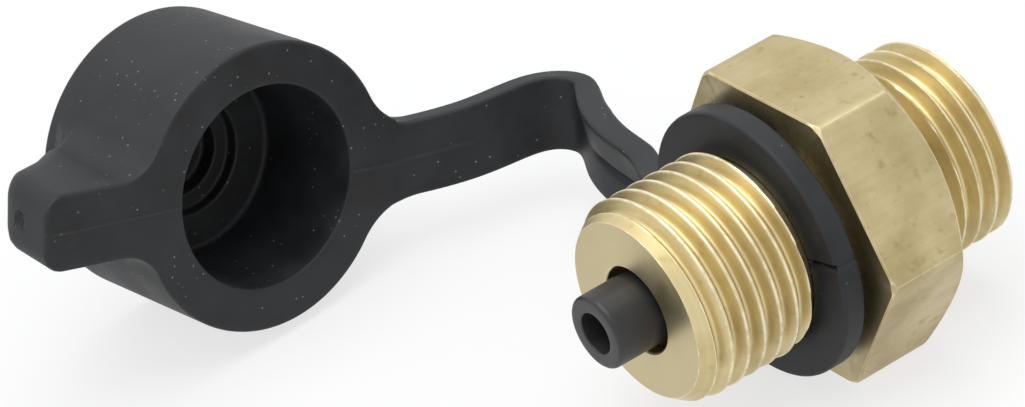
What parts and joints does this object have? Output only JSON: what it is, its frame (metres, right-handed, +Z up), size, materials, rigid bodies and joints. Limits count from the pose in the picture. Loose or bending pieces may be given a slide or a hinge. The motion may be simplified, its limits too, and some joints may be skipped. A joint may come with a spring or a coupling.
{
  "type": "test point coupling",
  "caption": "Hydraulic test point coupling: threaded brass valve body with a spanner hexagon and a spring-loaded hollow plunger, and a rubber dust cap on a strap with a neck ring.",
  "frame": {"origin": "on the body's axis, in the face of the hexagon that seats against the port", "axes": "+X along the body's axis towards the test end, +Z up, square to the hexagon flat that the part lies on"},
  "size_m": [0.0577, 0.0609, 0.0232],
  "materials": {
    "brass": "satin",
    "plunger_polymer": "matte",
    "seal_rubber": "matte",
    "spring_steel": "bright drawn",
    "cap_rubber": "matte moulded"
  },
  "bodies": {
    "fitting": {"valve_body": "brass", "stem_seal": "seal_rubber", "return_spring": "spring_steel", "spring_plate": "brass", "retaining_ring": "spring_steel"},
    "valve_stem": {"plunger": "plunger_polymer", "valve_seal": "seal_rubber"},
    "cap": {"dust_cap": "cap_rubber"}
  },
  "joints": [
    {"name": "plunger_push", "type": "slide", "parent": "fitting", "child": "valve_stem", "axis": [-1, 0, 0], "range_m": [0, 0.003], "stiffness_N_per_m": 2600, "springref_m": -0.002, "deforming": ["return_spring"]},
    {"name": "cap_swivel", "type": "hinge", "parent": "fitting", "child": "cap", "pos_m": [0.00965, 0, 0], "axis": [1, 0, 0], "continuous": true}
  ]
}
